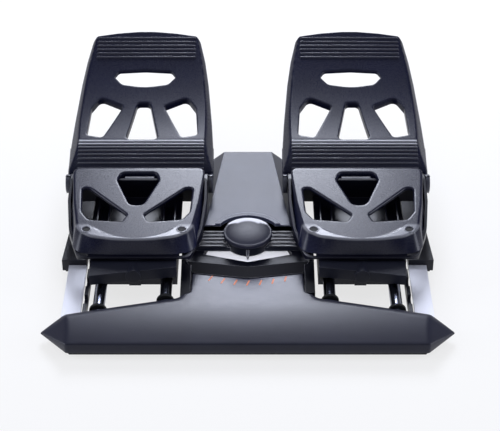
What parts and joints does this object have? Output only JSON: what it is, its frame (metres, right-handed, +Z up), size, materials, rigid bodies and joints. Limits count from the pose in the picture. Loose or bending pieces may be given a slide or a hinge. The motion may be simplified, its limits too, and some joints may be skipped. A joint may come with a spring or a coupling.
{
  "type": "flight simulator rudder pedals",
  "caption": "Flight simulator rudder pedals: sliding foot pedals tied by a swing lever, with hinged toe brake plates, on a flat floor base.",
  "frame": {"origin": "middle of the base's footprint, at floor level under the feet", "axes": "+X to the user's right, +Y away from the user, +Z up"},
  "size_m": [0.37, 0.3845, 0.1195],
  "materials": {
    "tray_black": "fine moulded texture",
    "plate_grey": "satin moulded plastic",
    "base_black": "fine moulded texture",
    "strip_silver": "satin",
    "tube_dark": "glossy dark coat",
    "rubber_black": "dull",
    "cover_lilac": "matte paint",
    "bridge_black": "semi-gloss",
    "board_green": "solder mask",
    "spring_steel": "drawn wire",
    "screw_steel": "zinc coat",
    "lever_grey": "satin moulded plastic",
    "shaft_steel": "ground",
    "cap_dark": "semi-gloss",
    "needle_white": "satin paint",
    "carriage_black": "glass-filled plastic",
    "bushing_tan": "plain bearing plastic",
    "pedal_dark": "fine moulded texture",
    "pedal_navy": "fine moulded texture",
    "screw_black": "black coat",
    "sensor_blue": "moulded"
  },
  "bodies": {
    "base": {"base_tray": "tray_black", "front_plate": "plate_grey", "rear_plate": "base_black", "tube_left_outer": "tube_dark", "tube_left_inner": "tube_dark", "tube_right_inner": "tube_dark", "tube_right_outer": "tube_dark", "rail_bumpers": "rubber_black", "centre_cover": "cover_lilac", "dial_bridge": "bridge_black", "dial_plate": "strip_silver", "pivot_housing": "base_black", "rudder_sensor": "board_green", "centring_spring": "spring_steel", "circuit_board": "board_green", "cable_gland": "rubber_black", "rubber_feet": "rubber_black", "base_screws": "screw_steel", "side_strip_left": "strip_silver", "side_strip_right": "strip_silver", "guide_rail_left": "base_black", "guide_rail_right": "base_black"},
    "lever": {"swing_lever": "lever_grey", "pivot_shaft": "shaft_steel", "hub_cap": "cap_dark", "needle": "needle_white"},
    "pedal_left": {"carriage_left": "carriage_black", "bushings_left": "bushing_tan", "drive_pin_left": "shaft_steel", "pedal_body_left": "pedal_dark", "heel_plate_left": "pedal_navy", "heel_screws_left": "screw_black", "toe_axle_left": "shaft_steel", "toe_spring_left": "spring_steel", "toe_sensor_left": "sensor_blue"},
    "toe_left": {"toe_plate_left": "pedal_navy", "toe_bushings_left": "bushing_tan"},
    "pedal_right": {"carriage_right": "carriage_black", "bushings_right": "bushing_tan", "drive_pin_right": "shaft_steel", "pedal_body_right": "pedal_dark", "heel_plate_right": "pedal_navy", "heel_screws_right": "screw_black", "toe_axle_right": "shaft_steel", "toe_spring_right": "spring_steel", "toe_sensor_right": "sensor_blue"},
    "toe_right": {"toe_plate_right": "pedal_navy", "toe_bushings_right": "bushing_tan"}
  },
  "joints": [
    {"name": "rudder_pivot", "type": "hinge", "parent": "base", "child": "lever", "pos_m": [0, -0.06, 0.03], "axis": [0, 0, 1], "range_deg": [-20.2, 20.2]},
    {"name": "pedal_right_slide", "type": "slide", "parent": "base", "child": "pedal_right", "axis": [0, 1, 0], "range_m": [-0.0295, 0.0295], "stiffness_N_per_m": 840},
    {"name": "pedal_left_slide", "type": "slide", "parent": "base", "child": "pedal_left", "axis": [0, 1, 0], "range_m": [-0.0297, 0.0297]},
    {"name": "toe_right_hinge", "type": "hinge", "parent": "pedal_right", "child": "toe_right", "pos_m": [0.105, 0.012, 0.05], "axis": [-1, 0, 0], "range_deg": [0, 12], "stiffness_Nm_per_rad": 4, "springref_deg": -11.46},
    {"name": "toe_left_hinge", "type": "hinge", "parent": "pedal_left", "child": "toe_left", "pos_m": [-0.105, 0.012, 0.05], "axis": [-1, 0, 0], "range_deg": [0, 12], "stiffness_Nm_per_rad": 4, "springref_deg": -11.46}
  ],
  "couplings": [
    {"joint": "rudder_pivot", "follows": "pedal_right_slide", "rad_per_m": 11.829},
    {"joint": "pedal_left_slide", "follows": "pedal_right_slide", "ratio": -1}
  ]
}
